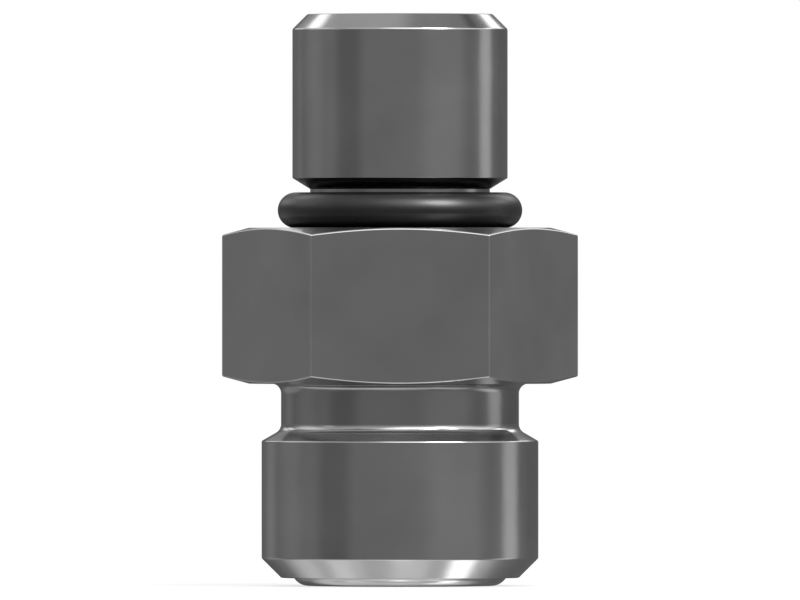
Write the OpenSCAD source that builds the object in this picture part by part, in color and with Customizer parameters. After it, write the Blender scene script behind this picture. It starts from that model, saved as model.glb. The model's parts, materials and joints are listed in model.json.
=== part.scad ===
// Straight hydraulic adapter. A threaded port stud with its O-ring is at the top, a wrench
// hexagon in the middle, and a tube end that seals on its lower face at the bottom.
// It stands on the crown of the face-seal O-ring at z = 0, with its axis along +Z and two
// corners of the hexagon on the X axis. Both threads are plain at their major diameter.

/* [Port stud] */
// Length of the stud, from the hexagon to its tip
port_stud_l = 11; // [9:0.1:14]
// Major diameter of the stud thread
port_thread_d = 11.08; // [10.6:0.02:12]
// Width of the 45 degree chamfer at the tip
port_chamfer_w = 0.78; // [0.3:0.02:1.3]
// Diameter of the neck that the O-ring grips
port_neck_d = 9.25; // [8.4:0.05:9.8]
// Length of the neck, from the hexagon to the run-out of the thread
port_neck_l = 2.03; // [1.85:0.01:2.8]
// Radius of the fillet between the neck and the hexagon
port_neck_fillet_r = 0.2; // [0.1:0.05:0.3]

/* [Hexagon] */
// Width across the flats
hex_af = 15.875; // [15:0.125:17.5]
// Length of the hexagon along the axis
hex_l = 8.03; // [6:0.01:12]
// How far inside the flats the two chamfers start
hex_chamfer_inset = 0.17; // [0.05:0.01:0.45]
// Slope of the chamfers from the end faces
hex_chamfer_angle = 15; // [10:1:30]

/* [Tube end] */
// Length of the tube end, from the hexagon to the sealing face
tube_end_l = 10; // [9:0.1:13]
// Major diameter of the tube-end thread
tube_thread_d = 14.25; // [13.7:0.05:14.8]
// Length of the shank that carries the thread, from the sealing face
tube_shank_l = 7.05; // [5.5:0.05:7.8]
// Width of the 45 degree chamfer round the sealing face
tube_chamfer_w = 1.01; // [0.5:0.01:1.3]
// Diameter of the relief between the shank and the hexagon
tube_neck_d = 12.25; // [11.5:0.05:13.2]
// Radius of the fillet between the relief and the hexagon
tube_neck_fillet_r = 0.5; // [0.2:0.05:0.8]
// Radius of the fillet between the run-out and the relief
tube_runout_fillet_r = 0.5; // [0.2:0.05:0.8]

/* [Thread run-outs] */
// Slope of the run-outs where both threads end, from the end faces
runout_angle = 30; // [20:1:45]

/* [Flow passage] */
// Diameter of the passage drilled right through
bore_d = 4.4; // [3:0.1:5.6]
// Width of the 45 degree chamfer at both mouths
bore_chamfer_w = 0.3; // [0.1:0.05:0.5]

/* [Port O-ring] */
// Thickness of the round section
port_ring_section_d = 1.84; // [1.6:0.01:2.0]
// How far the neck flattens the inner side of the ring
port_ring_grip = 0.17; // [0.05:0.01:0.4]
// How far the hexagon flattens the lower side of the ring
port_ring_press = 0.03; // [0.01:0.01:0.1]

/* [Face-seal O-ring] */
// Inner diameter of the ring
face_ring_inner_d = 7.65; // [7.3:0.01:7.9]
// Thickness of the round section
face_ring_section_d = 1.78; // [1.6:0.01:1.9]
// Depth of the groove in the sealing face
face_groove_depth = 1.38; // [1.1:0.01:1.5]
// Width of the groove between its two round walls
face_groove_w = 2.24; // [2.05:0.01:2.5]
// Radius of the corners at the bottom of the groove
face_groove_fillet_r = 0.2; // [0.1:0.05:0.3]

/* [Fits] */
// Gap between each O-ring and the metal that it lies on
seat_gap = 0.01; // [0.005:0.005:0.03]
// Gap between the face-seal O-ring and the outer wall of its groove
groove_side_gap = 0.03; // [0.01:0.01:0.08]

/* [Hidden] */
$fn = 128;

// How far each cutting tool runs past the faces that it opens
cut_past = 1;
hexagon_sides = 6;

steel = [0.60, 0.60, 0.60];
black_rubber = [0.09, 0.09, 0.09];
grey_rubber = [0.62, 0.62, 0.63];

// Heights along the axis, stacked up from the crown of the face-seal O-ring
face_z = face_ring_section_d + seat_gap - face_groove_depth;
hex_bottom_z = face_z + tube_end_l;
hex_top_z = hex_bottom_z + hex_l;
tip_z = hex_top_z + port_stud_l;

port_thread_r = port_thread_d / 2;
port_neck_r = port_neck_d / 2;
port_runout_h = (port_thread_r - port_neck_r) * tan(runout_angle);
port_neck_top_z = hex_top_z + port_neck_l;

tube_thread_r = tube_thread_d / 2;
tube_neck_r = tube_neck_d / 2;
tube_runout_h = (tube_thread_r - tube_neck_r) * tan(runout_angle);
tube_shank_top_z = face_z + tube_shank_l;
tube_neck_bottom_z = tube_shank_top_z + tube_runout_h;

// The bar is turned before its flats are milled, so each chamfer is a cone that leaves
// an arch on every flat
hex_corner_r = hex_af / 2 / cos(180 / hexagon_sides);
hex_chamfer_r = hex_af / 2 - hex_chamfer_inset;
hex_blank_r = hex_corner_r + cut_past;
hex_blank_drop = (hex_blank_r - hex_chamfer_r) * tan(hex_chamfer_angle);

bore_r = bore_d / 2;
bore_mouth_r = bore_r + bore_chamfer_w + cut_past;

port_ring_r = port_ring_section_d / 2;
port_ring_centre_r = port_neck_r + port_ring_r - port_ring_grip;
port_ring_centre_z = hex_top_z + seat_gap + port_ring_r - port_ring_press;

face_ring_r = face_ring_section_d / 2;
face_ring_centre_r = face_ring_inner_d / 2 + face_ring_r;
face_groove_outer_r = face_ring_centre_r + face_ring_r + groove_side_gap;
face_groove_inner_r = face_groove_outer_r - face_groove_w;
face_groove_floor_z = face_z + face_groove_depth;

// The metal that a round-nosed tool leaves in an inside corner at the origin. The wall
// stands along +Y, and the floor falls away from it towards +X at an angle.
module corner_fillet(r, fall = 0) {
    reach = r * tan(45 - fall / 2);
    difference() {
        polygon([
            [0, 0],
            [0, reach],
            [r, reach],
            [reach * cos(fall), -reach * sin(fall)],
        ]);
        translate([r, reach]) circle(r);
    }
}

// Half section of the stud: neck, run-out, thread and tip chamfer
module port_stud_section() {
    polygon([
        [0, hex_top_z],
        [port_neck_r, hex_top_z],
        [port_neck_r, port_neck_top_z],
        [port_thread_r, port_neck_top_z + port_runout_h],
        [port_thread_r, tip_z - port_chamfer_w],
        [port_thread_r - port_chamfer_w, tip_z],
        [0, tip_z],
    ]);
    translate([port_neck_r, hex_top_z]) corner_fillet(port_neck_fillet_r);
}

// Half section of the tube end: relief with two fillets, run-out, thread and chamfer
module tube_end_section() {
    polygon([
        [0, face_z],
        [tube_thread_r - tube_chamfer_w, face_z],
        [tube_thread_r, face_z + tube_chamfer_w],
        [tube_thread_r, tube_shank_top_z],
        [tube_neck_r, tube_neck_bottom_z],
        [tube_neck_r, hex_bottom_z],
        [0, hex_bottom_z],
    ]);
    translate([tube_neck_r, tube_neck_bottom_z]) corner_fillet(tube_runout_fillet_r, runout_angle);
    translate([tube_neck_r, hex_bottom_z]) mirror([0, 1]) corner_fillet(tube_neck_fillet_r);
}

// The turned blank of the hexagon, chamfered at both ends
module hexagon_blank() {
    rotate_extrude() polygon([
        [0, hex_bottom_z],
        [hex_chamfer_r, hex_bottom_z],
        [hex_blank_r, hex_bottom_z + hex_blank_drop],
        [hex_blank_r, hex_top_z - hex_blank_drop],
        [hex_chamfer_r, hex_top_z],
        [0, hex_top_z],
    ]);
}

module hexagon() {
    intersection() {
        hexagon_blank();
        translate([0, 0, hex_bottom_z]) {
            linear_extrude(hex_l) circle(hex_corner_r, $fn = hexagon_sides);
        }
    }
}

// The drilled passage, opened by a chamfer at each mouth
module flow_passage() {
    rotate_extrude() polygon([
        [0, face_z - cut_past],
        [bore_mouth_r, face_z - cut_past],
        [bore_r, face_z + bore_chamfer_w],
        [bore_r, tip_z - bore_chamfer_w],
        [bore_mouth_r, tip_z + cut_past],
        [0, tip_z + cut_past],
    ]);
}

// The ring groove that is faced into the sealing face, with rounded bottom corners
module face_groove() {
    rotate_extrude() difference() {
        translate([face_groove_inner_r, face_z - cut_past]) {
            square([face_groove_w, face_groove_depth + cut_past]);
        }
        translate([face_groove_inner_r, face_groove_floor_z]) {
            mirror([0, 1]) corner_fillet(face_groove_fillet_r);
        }
        translate([face_groove_outer_r, face_groove_floor_z]) {
            rotate(180) corner_fillet(face_groove_fillet_r);
        }
    }
}

// One piece of bar steel, turned, milled and drilled
module adapter_body() {
    color(steel) difference() {
        union() {
            rotate_extrude() port_stud_section();
            hexagon();
            rotate_extrude() tube_end_section();
        }
        flow_passage();
        face_groove();
    }
}

// The port seal lies in the corner of the neck and the hexagon, and each flattens one side of it
module boss_o_ring() {
    color(black_rubber) rotate_extrude() {
        intersection() {
            translate([port_ring_centre_r, port_ring_centre_z]) circle(port_ring_r);
            translate([port_neck_r + seat_gap, hex_top_z + seat_gap]) square(port_ring_section_d);
        }
    }
}

// The face seal lies on the floor of its groove and stands proud of the face
module face_seal_o_ring() {
    color(grey_rubber) rotate_extrude() {
        translate([face_ring_centre_r, face_ring_r]) circle(face_ring_r);
    }
}

adapter_body();
boss_o_ring();
face_seal_o_ring();
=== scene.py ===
import json
import math

import bmesh
import bpy
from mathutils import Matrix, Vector


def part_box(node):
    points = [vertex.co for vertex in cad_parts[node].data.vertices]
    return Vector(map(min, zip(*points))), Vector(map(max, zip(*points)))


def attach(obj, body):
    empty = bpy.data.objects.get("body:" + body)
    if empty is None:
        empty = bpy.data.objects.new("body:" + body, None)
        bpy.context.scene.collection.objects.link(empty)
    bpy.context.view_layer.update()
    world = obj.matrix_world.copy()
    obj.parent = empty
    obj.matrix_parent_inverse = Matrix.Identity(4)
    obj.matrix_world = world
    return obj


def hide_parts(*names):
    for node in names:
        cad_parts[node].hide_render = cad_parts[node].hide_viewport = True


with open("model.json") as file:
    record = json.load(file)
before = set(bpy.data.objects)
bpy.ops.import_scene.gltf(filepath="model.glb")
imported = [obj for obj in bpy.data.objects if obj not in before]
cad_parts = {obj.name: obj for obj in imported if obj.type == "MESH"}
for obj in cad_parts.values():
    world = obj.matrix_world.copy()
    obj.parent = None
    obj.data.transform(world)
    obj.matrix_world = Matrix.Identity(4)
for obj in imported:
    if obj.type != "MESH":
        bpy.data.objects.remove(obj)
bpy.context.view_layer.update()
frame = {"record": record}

# Adapter body
# One piece of steel bar. The lathe turns both ends, drills the passage through and cuts the ring groove
# in the lower face. The six flats are the drawn sides of the bar, and a thin dull plating covers it all.

MM = 0.001
mounts = {mount["name"]: mount for mount in frame["record"]["mounts"]}


def mount_wall(name):
    """The radius of a round mount's wall, and the heights of its two ends."""
    mount = mounts[name]
    middle = mount["pos_m"][2]
    half = mount["dims"]["length_mm"] * MM / 2
    return mount["dims"]["r_mm"] * MM, middle - half, middle + half


stud_r, stud_low_z, stud_chamfer_z = mount_wall("port_thread")
shank_r, shank_chamfer_z, shank_top_z = mount_wall("tube_end_thread")
bore_r, bore_low_z, bore_high_z = mount_wall("flow_passage")
face_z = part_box("adapter_body")[0][2]
tip_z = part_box("adapter_body")[1][2]
stud_chamfer_w = tip_z - stud_chamfer_z
shank_chamfer_w = shank_chamfer_z - face_z
mouth_r = bore_r + tip_z - bore_high_z

tube_end_l = 10 * MM
hex_l = 8.03 * MM
hex_low_z = face_z + tube_end_l
hex_high_z = hex_low_z + hex_l
hex_sides = 6
flat_r = mounts["wrench_flat_back"]["pos_m"][1]
hex_chamfer_r = flat_r - 0.17 * MM
hex_chamfer_slope = math.radians(15)
blank_margin = 1 * MM
blank_r = flat_r / math.cos(math.pi / hex_sides) + blank_margin
blank_drop = (blank_r - hex_chamfer_r) * math.tan(hex_chamfer_slope)

neck_r = 4.625 * MM
port_runout_h = 0.57 * MM
neck_top_z = stud_low_z - port_runout_h
neck_fillet_r = 0.2 * MM

relief_r = 6.125 * MM
relief_fillet_r = 0.5 * MM
runout_slope = math.radians(30)
relief_low_z = shank_top_z + (shank_r - relief_r) * math.tan(runout_slope)

# From the run-out to the relief the wall turns by 60 degrees, so that fillet is rounded at two corners
runout_turn = math.radians(90) - runout_slope
runout_reach = relief_fillet_r * math.tan(runout_turn / 4)
runout_cut = relief_fillet_r * math.tan(runout_turn / 2) - runout_reach
runout_corner_r = relief_r + runout_cut * math.cos(runout_slope)
runout_corner_z = relief_low_z - runout_cut * math.sin(runout_slope)

groove_inner_r = 3.395 * MM
groove_outer_r = 5.635 * MM
groove_floor_z = face_z + 1.38 * MM
groove_fillet_r = 0.2 * MM

edge_break = 0.06 * MM
sharp_break = 0.02 * MM
break_segments = 4
fillet_segments = 10
flat_margin = 0.01 * MM
shortest_flat = 0.1 * MM
merge_gap = 0.0001 * MM
turn_steps = 288
smooth_up_to = math.radians(29)


def rounded_section(corners):
    """A closed half section in the XZ plane, from each corner's radius, height and reach of rounding."""
    section = bmesh.new()
    points = [section.verts.new((radius, 0, height)) for radius, height, _ in corners]
    for start, end in zip(points, points[1:] + points[:1]):
        section.edges.new((start, end))
    for reach in sorted({corner[2] for corner in corners if corner[2]}):
        bmesh.ops.bevel(
            section,
            geom=[point for point, corner in zip(points, corners) if corner[2] == reach],
            offset=reach,
            affect="VERTICES",
            segments=fillet_segments if reach > edge_break else break_segments,
            profile=0.5,
            material=-1,
        )
    bmesh.ops.remove_doubles(section, verts=section.verts[:], dist=merge_gap)
    # A narrow margin at both ends of each straight stretch keeps the shading of its roundings off it
    for edge in section.edges[:]:
        if edge.calc_length() > shortest_flat:
            for end in edge.verts[:]:
                bmesh.utils.edge_split(edge, end, flat_margin / edge.calc_length())
    return section


def turned(section):
    """Turns a half section once round the Z axis and points its faces outwards."""
    bmesh.ops.spin(
        section,
        geom=section.verts[:] + section.edges[:],
        cent=(0, 0, 0),
        axis=(0, 0, 1),
        angle=math.tau,
        steps=turn_steps,
        use_merge=True,
    )
    bmesh.ops.recalc_face_normals(section, faces=section.faces[:])
    return section


def scene_piece(name, shape):
    """Makes an object of a shape, shaded smooth except across corners that have no rounding."""
    for face in shape.faces:
        face.smooth = True
    for edge in shape.edges:
        edge.smooth = len(edge.link_faces) == 2 and edge.calc_face_angle(0) < smooth_up_to
    mesh = bpy.data.meshes.new(name)
    shape.to_mesh(mesh)
    shape.free()
    piece = bpy.data.objects.new(name, mesh)
    bpy.context.collection.objects.link(piece)
    return piece


body = turned(rounded_section([
    (mouth_r, face_z, edge_break),
    (groove_inner_r, face_z, edge_break),
    (groove_inner_r, groove_floor_z, groove_fillet_r),
    (groove_outer_r, groove_floor_z, groove_fillet_r),
    (groove_outer_r, face_z, edge_break),
    (shank_r - shank_chamfer_w, face_z, edge_break),
    (shank_r, shank_chamfer_z, edge_break),
    (shank_r, shank_top_z, edge_break),
    (runout_corner_r, runout_corner_z, runout_reach),
    (relief_r, relief_low_z + runout_cut, runout_reach),
    (relief_r, hex_low_z, relief_fillet_r),
    (hex_chamfer_r, hex_low_z, 0),
    (blank_r, hex_low_z + blank_drop, 0),
    (blank_r, hex_high_z - blank_drop, 0),
    (hex_chamfer_r, hex_high_z, 0),
    (neck_r, hex_high_z, neck_fillet_r),
    (neck_r, neck_top_z, 0),
    (stud_r, stud_low_z, sharp_break),
    (stud_r, stud_chamfer_z, edge_break),
    (stud_r - stud_chamfer_w, tip_z, edge_break),
    (mouth_r, tip_z, edge_break),
    (bore_r, bore_high_z, 0),
    (bore_r, bore_low_z, 0),
]))

# The chamfered blank is cut back to the six flats, and that leaves an arch at both ends of each
cut_tolerance = 0.00001 * MM
for side in range(hex_sides):
    turn = math.tau / hex_sides * (side + 0.5)
    outwards = Vector((math.cos(turn), math.sin(turn), 0))
    cut = bmesh.ops.bisect_plane(
        body,
        geom=body.verts[:] + body.edges[:] + body.faces[:],
        dist=cut_tolerance,
        plane_co=outwards * flat_r,
        plane_no=outwards,
        clear_outer=True,
    )
    rim = [part for part in cut["geom_cut"] if isinstance(part, bmesh.types.BMEdge)]
    bmesh.ops.holes_fill(body, edges=rim)
bmesh.ops.recalc_face_normals(body, faces=body.faces[:])

# Tumbling has rounded the arches, and the upright edges hardly at all. Only the flats have many corners.
arch_rounding = 0.08 * MM
upright_share = 0.2
many_corners = 20
rounding = body.edges.layers.float.new("bevel_weight_edge")
flats = [face for face in body.faces if len(face.verts) > many_corners]
for flat in flats:
    for edge in flat.edges:
        edge[rounding] = upright_share if all(face in flats for face in edge.link_faces) else 1.0
body_piece = scene_piece("turned_body", body)
weights = body_piece.data.attributes["bevel_weight_edge"].data
for edge, weight in zip(body_piece.data.edges, weights):
    # An edge that tumbling rounds is shaded smooth
    if weight.value > 0:
        edge.use_edge_sharp = False
tumbling = body_piece.modifiers.new("tumbled_edges", "BEVEL")
tumbling.limit_method = "WEIGHT"
tumbling.width = arch_rounding
tumbling.segments = 4
tumbling.use_clamp_overlap = False
tumbling.harden_normals = True


class Value:
    """A shader socket. Sums written with it add the Math nodes that work them out."""

    def __init__(self, socket):
        self.socket = socket

    def math(self, operation, *operands):
        """Adds a Math node in the socket's own tree. Its operands are sockets or numbers."""
        tree = self.socket.id_data
        node = tree.nodes.new("ShaderNodeMath")
        node.operation = operation
        for slot, operand in zip(node.inputs, operands):
            if isinstance(operand, Value):
                tree.links.new(operand.socket, slot)
            else:
                slot.default_value = operand
        return Value(node.outputs[0])

    def __add__(self, other):
        return self.math("ADD", self, other)

    def __sub__(self, other):
        return self.math("SUBTRACT", self, other)

    def __rsub__(self, other):
        return self.math("SUBTRACT", other, self)

    def __mul__(self, other):
        return self.math("MULTIPLY", self, other)

    def __pow__(self, other):
        return self.math("POWER", self, other)

    def __abs__(self):
        return self.math("ABSOLUTE", self)

    __radd__ = __add__
    __rmul__ = __mul__


class Nodes:
    """The shader nodes of one material, or of the room."""

    def __init__(self, owner):
        owner.use_nodes = True
        self.owner = owner
        self.tree = owner.node_tree
        self.tree.nodes.clear()

    def add(self, kind, sockets=None, settings=None, output=0):
        """Adds a node, sets its settings, then fills its sockets with values or links. Gives one output."""
        node = self.tree.nodes.new("ShaderNode" + kind)
        for name, setting in (settings or {}).items():
            setattr(node, name, setting)
        for name, given in (sockets or {}).items():
            if isinstance(given, Value):
                self.tree.links.new(given.socket, node.inputs[name])
            else:
                node.inputs[name].default_value = given
        return Value(node.outputs[output]) if node.outputs else None

    def place_mm(self):
        """The place on the piece, in millimetres."""
        place = self.add("TexCoord", output="Object")
        return self.add("VectorMath", {0: place, "Scale": 1 / MM}, {"operation": "SCALE"})

    def cloud(self, place, per_mm, detail=2.0):
        """Soft clouds about 0, with so many to a millimetre."""
        sockets = {"Vector": place, "Scale": per_mm, "Detail": detail, "Roughness": 0.5}
        return self.add("TexNoise", sockets) - 0.5

    def rise(self, value, start, end):
        """Goes smoothly from 0 to 1 while the value goes from start to end."""
        sockets = {"Value": value, "From Min": start, "From Max": end}
        return self.add("MapRange", sockets, {"interpolation_type": "SMOOTHSTEP"})

    def grey(self, level):
        """The neutral colour of one brightness."""
        return self.add("CombineColor", {"Red": level, "Green": level, "Blue": level})

    def relief(self, height_mm):
        """A bumpy surface from its height in millimetres."""
        return self.add("Bump", {"Height": height_mm, "Distance": MM})


steel = Nodes(bpy.data.materials.new("plated_steel"))
place = steel.place_mm()
across = steel.add("SeparateXYZ", {"Vector": place}, output="X")
along = steel.add("SeparateXYZ", {"Vector": place}, output="Y")
height = steel.add("SeparateXYZ", {"Vector": place}, output="Z")
radius = (across * across + along * along) ** 0.5


def between(low, high, soft):
    """Is 1 between two heights of the body, given in metres, with ends that are soft by some mm."""
    low_end = steel.rise(height, low / MM - soft, low / MM)
    high_end = steel.rise(height, high / MM, high / MM + soft)
    return low_end * (1 - high_end)


def within(inner, outer):
    """Is 1 up to the inner radius, and fades to 0 at the outer one. Both are in mm."""
    return 1 - steel.rise(radius, inner, outer)


# Painted shade: the relief, the neck and the undercut are darker than the rest, and so is the hexagon's
# face beside the port O-ring, but not the lower fillet of the relief. These greys are fitted to the
# photograph, and stand in for the shade in the recesses, under the stud and round the ring.
nose_low_z = relief_low_z - 0.15 * MM
nose_high_z = relief_low_z + 0.25 * MM
in_relief = between(shank_top_z, hex_low_z, 0.05) - between(nose_low_z, nose_high_z, 0.08)
on_neck = between(hex_high_z, neck_top_z, 0.1)
in_recess = in_relief * within(6.6, 7.1) + on_neck * within(4.7, 5.0)
in_undercut = between(neck_top_z, stud_low_z, 0.02)
# Painted shade round the port O-ring on the hexagon's upper face
ring_shade = between(hex_high_z, hex_high_z, 0.03) * within(6.8, 7.65)

# The plating is slightly cloudy. The upright edges of the hexagon are brighter, a painted highlight.
# The tool left fine rings, coarser and rougher on the end faces, which are also darker, painted shade
# that tones down their reflection.
end_faces = sum(between(level, level, 0.03) for level in (face_z, tip_z))
faced = end_faces + sum(between(level, level, 0.03) for level in (hex_low_z, hex_high_z))
on_flats = steel.rise(radius, 7.8, 7.9)
edge_highlight = steel.rise(radius, 9.11, 9.15)
ring_phase = height * 9.0 + radius * 7.0
feed_rings = steel.add("TexNoise", {"W": ring_phase, "Detail": 1.0}, {"noise_dimensions": "1D"}) - 0.5
tarnish = steel.cloud(place, 0.22)
specks = steel.cloud(place, 2.6)
waviness = steel.cloud(place, 0.7, 1.0)

plating_grey = 0.60
# Painted highlight on the upright edges, and painted shade in the recesses, the undercut, round the port
# O-ring and on the end faces
brighter = tarnish * 0.36 + specks * 0.03 + edge_highlight * 0.14
painted_shade = in_recess * 0.2 + in_undercut * 0.4 + ring_shade * 0.77 + end_faces * 0.2
tool_marks_mm = waviness * 0.010 + feed_rings * (0.0001 + faced * 0.0012)
bumps_mm = tool_marks_mm * (1 - 0.8 * on_flats) * (1 - in_undercut) + specks * 0.001
shader = steel.add("BsdfPrincipled", {
    "Base Color": steel.grey(plating_grey * (1 + brighter) * (1 - painted_shade)),
    "Metallic": 1.0,
    "Roughness": 0.16 + tarnish * 0.06 + faced * 0.1,
    "Normal": steel.relief(bumps_mm),
})
steel.add("OutputMaterial", {"Surface": shader})
body_piece.data.materials.append(steel.owner)
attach(body_piece, "root")
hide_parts("adapter_body")

# Port O-ring
# A moulded ring of black nitrile rubber with a round section. It is stretched over the neck of the stud
# and lies on the hexagon, and each presses it flat where they touch.

ring_low, ring_high = (Vector(corner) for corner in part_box("boss_o_ring"))
port_ring_r = 0.92 * MM
seat_gap = 0.01 * MM
round_segments = 96
port_ring = bmesh.new()
bmesh.ops.create_circle(port_ring, segments=round_segments, radius=port_ring_r)
for point in port_ring.verts:
    # Pressed flat on its inner side by the neck, and on its lower side by the hexagon
    point.co = (
        max(ring_high.x - port_ring_r + point.co.x, neck_r + seat_gap),
        0,
        max(ring_high.z - port_ring_r + point.co.y, ring_low.z),
    )
port_ring_piece = scene_piece("port_ring", turned(port_ring))

nitrile = Nodes(bpy.data.materials.new("black_nitrile"))
place = nitrile.place_mm()
bloom = nitrile.cloud(place, 0.8)
shader = nitrile.add("BsdfPrincipled", {
    "Base Color": nitrile.grey(0.011 + bloom * 0.006),
    "Roughness": 0.35 + bloom * 0.08,
    "IOR": 1.65,
    "Coat Weight": 0.1,
    "Coat Roughness": 0.25,
    "Normal": nitrile.relief(nitrile.cloud(place, 8.0) * 0.0008),
})
nitrile.add("OutputMaterial", {"Surface": shader})
port_ring_piece.data.materials.append(nitrile.owner)
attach(port_ring_piece, "root")
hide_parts("boss_o_ring")

# Face seal
# The moulded ring in the groove of the lower face. Only its crown stands out of the metal. In the
# photograph the crown shines as the plating does, so the ring is shaded as a metal.

seal_low, seal_high = (Vector(corner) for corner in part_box("face_seal_o_ring"))
seal_r = (seal_high.z - seal_low.z) / 2
seal = bmesh.new()
bmesh.ops.create_circle(seal, segments=round_segments, radius=seal_r)
for point in seal.verts:
    point.co = (seal_high.x - seal_r + point.co.x, 0, seal_low.z + seal_r + point.co.y)
seal_piece = scene_piece("face_seal", turned(seal))

grey_seal = Nodes(bpy.data.materials.new("smooth_grey_seal"))
place = grey_seal.place_mm()
bloom = grey_seal.cloud(place, 0.6)
shader = grey_seal.add("BsdfPrincipled", {
    "Base Color": grey_seal.grey(plating_grey + bloom * 0.15),
    "Metallic": 1.0,
    "Roughness": 0.14 + bloom * 0.04,
    "Normal": grey_seal.relief(grey_seal.cloud(place, 2.6) * 0.0012),
})
grey_seal.add("OutputMaterial", {"Surface": shader})
seal_piece.data.materials.append(grey_seal.owner)
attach(seal_piece, "root")
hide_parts("face_seal_o_ring")

# Floor
# A plain white table, so wide that its edge is far behind the adapter. It keeps the adapter's shadow.

table_r = 300 * MM
floor_shape = bmesh.new()
bmesh.ops.create_circle(floor_shape, cap_ends=True, segments=round_segments, radius=table_r)
floor = scene_piece("floor", floor_shape)
floor.visible_glossy = False


def seen_white(nodes):
    """Is 1 for what the camera, glossy surfaces and glass see, and 0 for the light on the object."""
    seen = nodes.add("LightPath", output="Is Camera Ray")
    for ray in ("Is Glossy Ray", "Is Transmission Ray"):
        seen = seen.math("MAXIMUM", seen, nodes.add("LightPath", output=ray))
    return seen


table_glow = 0.58
table = Nodes(bpy.data.materials.new("white_table"))
shader = table.add("BsdfPrincipled", {
    "Base Color": (0.8, 0.8, 0.8, 1),
    "Roughness": 0.9,
    "Emission Color": (1, 1, 1, 1),
    "Emission Strength": seen_white(table) * table_glow,
})
table.add("OutputMaterial", {"Surface": shader})
floor.data.materials.append(table.owner)

# Tent
# A tent of white cloth round the table, which only reflections see. The real studio is unknown. The
# patches and strips on it are fitted, so that the metal reflects what the photograph shows.

tent_r = 600 * MM
tent_shape = bmesh.new()
bmesh.ops.create_uvsphere(tent_shape, u_segments=64, v_segments=32, radius=tent_r)
tent = scene_piece("tent", tent_shape)
tent.visible_camera = False
tent.visible_diffuse = False
tent.visible_shadow = False
cloth = Nodes(bpy.data.materials.new("tent_cloth"))
outlook = cloth.add("VectorMath", {0: cloth.add("TexCoord", output="Object")}, {"operation": "NORMALIZE"})
level_outlook = cloth.add("VectorMath", {0: outlook, 1: (1, 1, 0)}, {"operation": "MULTIPLY"})
level_outlook = cloth.add("VectorMath", {0: level_outlook}, {"operation": "NORMALIZE"})
upwards = cloth.add("SeparateXYZ", {"Vector": outlook}, output="Z")


def heading(azimuth, elevation):
    """The direction of a place on the tent. Azimuth 0 is the camera's side, and 90 is the +X side."""
    turn = math.radians(azimuth)
    climb = math.radians(elevation)
    return Vector((math.sin(turn) * math.cos(climb), -math.cos(turn) * math.cos(climb), math.sin(climb)))


def spot(view, middle, full, faint, brightness):
    """A soft spot: full up to one angle from its middle, and gone at the other."""
    nearness = cloth.add("VectorMath", {0: view, 1: middle}, {"operation": "DOT_PRODUCT"}, "Value")
    return brightness * cloth.rise(nearness, math.cos(math.radians(faint)), math.cos(math.radians(full)))


def strips(places):
    """Upright strips, each from its azimuth, the angles where it is full and gone, and its brightness."""
    return sum(spot(level_outlook, heading(azimuth, 0), *look) for azimuth, *look in places)


def patches(places):
    """Round patches, each from its azimuth and elevation, then as a strip."""
    return sum(spot(outlook, heading(azimuth, elevation), *look) for azimuth, elevation, *look in places)


# The flats and the turned walls mirror the tent's sides. A strip below zero is darker than the cloth.
walls = strips([
    (-155, 10, 35, -0.07),
    (-121, 3, 14, -0.03),
    (-106, 4, 18, 0.05),
    (-57, 4, 20, -0.09),
    (50, 12, 34, 0.07),
    (77, 2, 12, -0.04),
    (105, 2, 13, 0.48),
    (128, 2, 14, -0.05),
    (165, 12, 40, -0.10),
]) * (1 - cloth.rise(abs(upwards), 0.42, 0.7))

# The fillets mirror bright patches of the ceiling, and a dark one
ceiling_glow = 0.4
ceiling = (ceiling_glow + patches([
    (-45, 57, 10, 30, 0.35),
    (105, 62, 16, 30, -0.3),
    (12, 51, 9, 29, 2.1),
    (60, 38, 12, 40, 1.0),
])) * cloth.rise(upwards, 0.12, 0.53)

# The chamfers that face upwards mirror small patches round the rim of the ceiling
rim_lamps = patches([
    (-178, 19, 4, 10, 0.5),
    (-175, 26, 2, 7, 1.0),
    (-152, 16, 3, 8, 1.1),
    (-143.5, 37.5, 2, 10, 2.1),
    (-139, 20, 3, 8, 1.3),
    (-110, 32, 8, 24, 0.6),
    (-75, 18, 3, 9, 0.35),
    (42, 25, 2, 9, 1.1),
    (70, 64, 4, 12, 0.9),
    (98, 32, 6, 16, 0.5),
    (122, 29, 2, 8, 2.6),
    (130, 30, 4, 11, 1.2),
    (138, 44, 4, 11, -0.33),
    (153, 27, 2, 11, 2.4),
])

# Those that face downwards, and the face seal, mirror the tent's lower half, which stands in for the
# bright and dark places of the table
table_bounce = patches([
    (-140, -78, 33, 50, 0.8),
    (-137, -16, 8, 22, 0.25),
    (-126, -54, 1, 7, -0.25),
    (-117, -63, 2, 8, 0.25),
    (-100, -80, 2, 9, -0.25),
    (0, -65, 12, 30, 0.28),
    (0, -80, 2, 7, 1.1),
    (75, -56, 6, 18, 0.45),
    (104, -27, 8, 20, 0.35),
    (107, -73, 1, 7, -0.35),
    (118, -62, 1.5, 8.5, 2.2),
    (147, -61, 2, 9, 1.2),
    (180, -49, 6, 15, -0.38),
    (180, -69, 1, 5, 0.8),
    (180, -79, 1, 6, -0.5),
])

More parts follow.
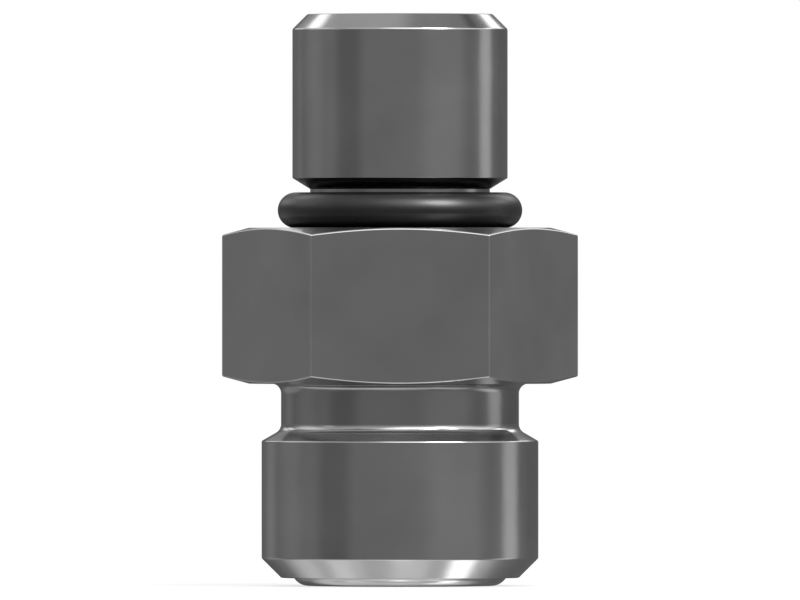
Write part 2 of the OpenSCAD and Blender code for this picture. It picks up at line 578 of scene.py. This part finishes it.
cloth_glow = 0.295
lamp_level = 0.65
brightness = lamp_level * (cloth_glow + walls + ceiling + rim_lamps + table_bounce)
shader = cloth.add("Emission", {"Strength": brightness})
cloth.add("OutputMaterial", {"Surface": shader})
cloth.owner.cycles.emission_sampling = "NONE"
tent.data.materials.append(cloth.owner)

# Lamps
# A round soft box over the camera's right shoulder makes the highlights. A larger one above it lights
# the table, and that gives the adapter its faint shadow.

adapter_middle = Vector((0, 0, (face_z + tip_z) / 2))


def soft_box(name, azimuth, elevation, distance, width, brightness):
    """A round soft box that faces the adapter, given by how bright its cloth looks."""
    lamp_data = bpy.data.lights.new(name, "AREA")
    lamp_data.shape = "DISK"
    lamp_data.size = width
    lamp_data.energy = brightness * math.pi * math.pi * (width / 2) ** 2
    lamp = bpy.data.objects.new(name, lamp_data)
    bpy.context.collection.objects.link(lamp)
    lamp.location = adapter_middle + heading(azimuth, elevation) * distance
    lamp.rotation_euler = (-heading(azimuth, elevation)).to_track_quat("-Z", "Y").to_euler()
    lamp.visible_camera = False
    return lamp


highlight_box = soft_box("highlight_box", 47, 44, distance=450 * MM, width=220 * MM, brightness=10.7)
highlight_box.data.cycles.max_bounces = 0
highlight_box.visible_diffuse = False
table_box = soft_box("table_box", 47, 60, distance=500 * MM, width=440 * MM, brightness=0.8)
table_box.visible_glossy = False

# Room
# White all round, behind the table and the tent. It lights the object at half of what the camera sees.

room = Nodes(bpy.data.worlds.new("white_room"))
bpy.context.scene.world = room.owner
shader = room.add("Background", {"Color": (1, 1, 1, 1), "Strength": seen_white(room) * 0.5 + 0.5})
room.add("OutputWorld", {"Surface": shader})

# Camera
# From the side and nearly level, and from so far that hardly anything converges.

camera_data = bpy.data.cameras.new("camera")
camera = bpy.data.objects.new("camera", camera_data)
bpy.context.collection.objects.link(camera)
camera_distance = 1400 * MM
camera_rise = 1.4 * MM
aim_z = 14.717 * MM
picture_w = 41.19 * MM
camera_data.sensor_width = 36
camera_data.lens = camera_data.sensor_width * camera_distance / picture_w
camera_data.clip_end = 10
camera.location = (0, -camera_distance, aim_z + camera_rise)
camera.rotation_euler = (math.radians(90) - math.atan(camera_rise / camera_distance), 0, 0)
bpy.context.scene.camera = camera
bpy.context.scene.view_settings.view_transform = "Standard"
